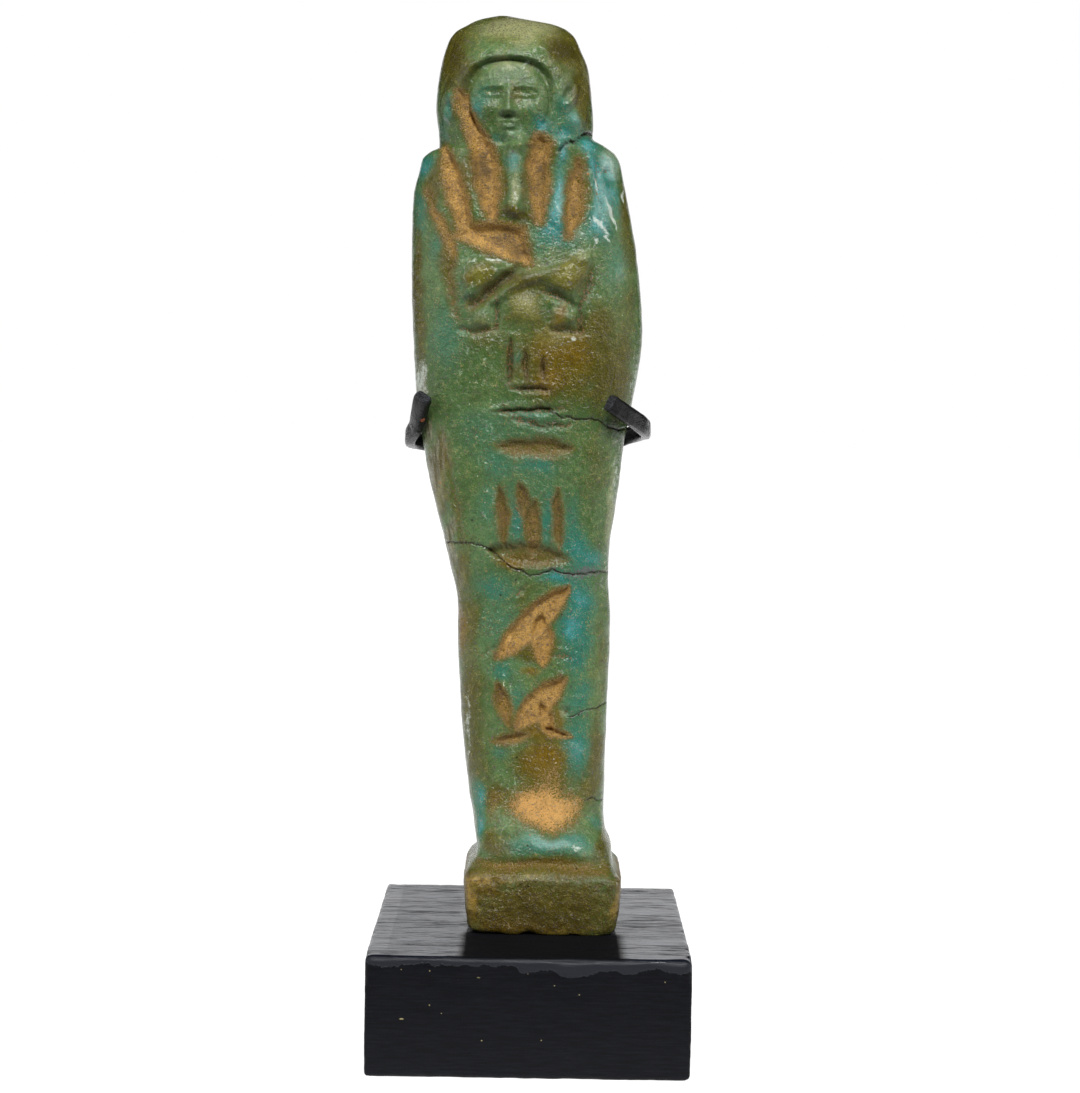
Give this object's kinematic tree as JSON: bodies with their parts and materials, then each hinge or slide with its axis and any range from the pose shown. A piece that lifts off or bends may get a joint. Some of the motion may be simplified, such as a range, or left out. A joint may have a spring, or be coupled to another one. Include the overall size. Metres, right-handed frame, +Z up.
{
  "type": "ushabti figurine on a display mount",
  "caption": "Mummy-shaped glazed faience tomb figure with crossed arms and a long wig, standing on a black wood block, held by a black metal cradle behind it.",
  "frame": {"origin": "centre of the block's underside", "axes": "+Z up the figure; the figure faces -Y; +X is the figure's left, the viewer's right"},
  "size_m": [0.038, 0.038, 0.1251],
  "materials": {
    "ushabti": "worn green and turquoise faience glaze over a sandy tan core",
    "display_block": "wood painted black, the grain showing through",
    "cradle": "brass rod and flat bar painted satin black, chipped at the bends"
  },
  "bodies": {
    "root": {"ushabti": "ushabti", "display_block": "display_block", "cradle": "cradle"}
  },
  "joints": []
}
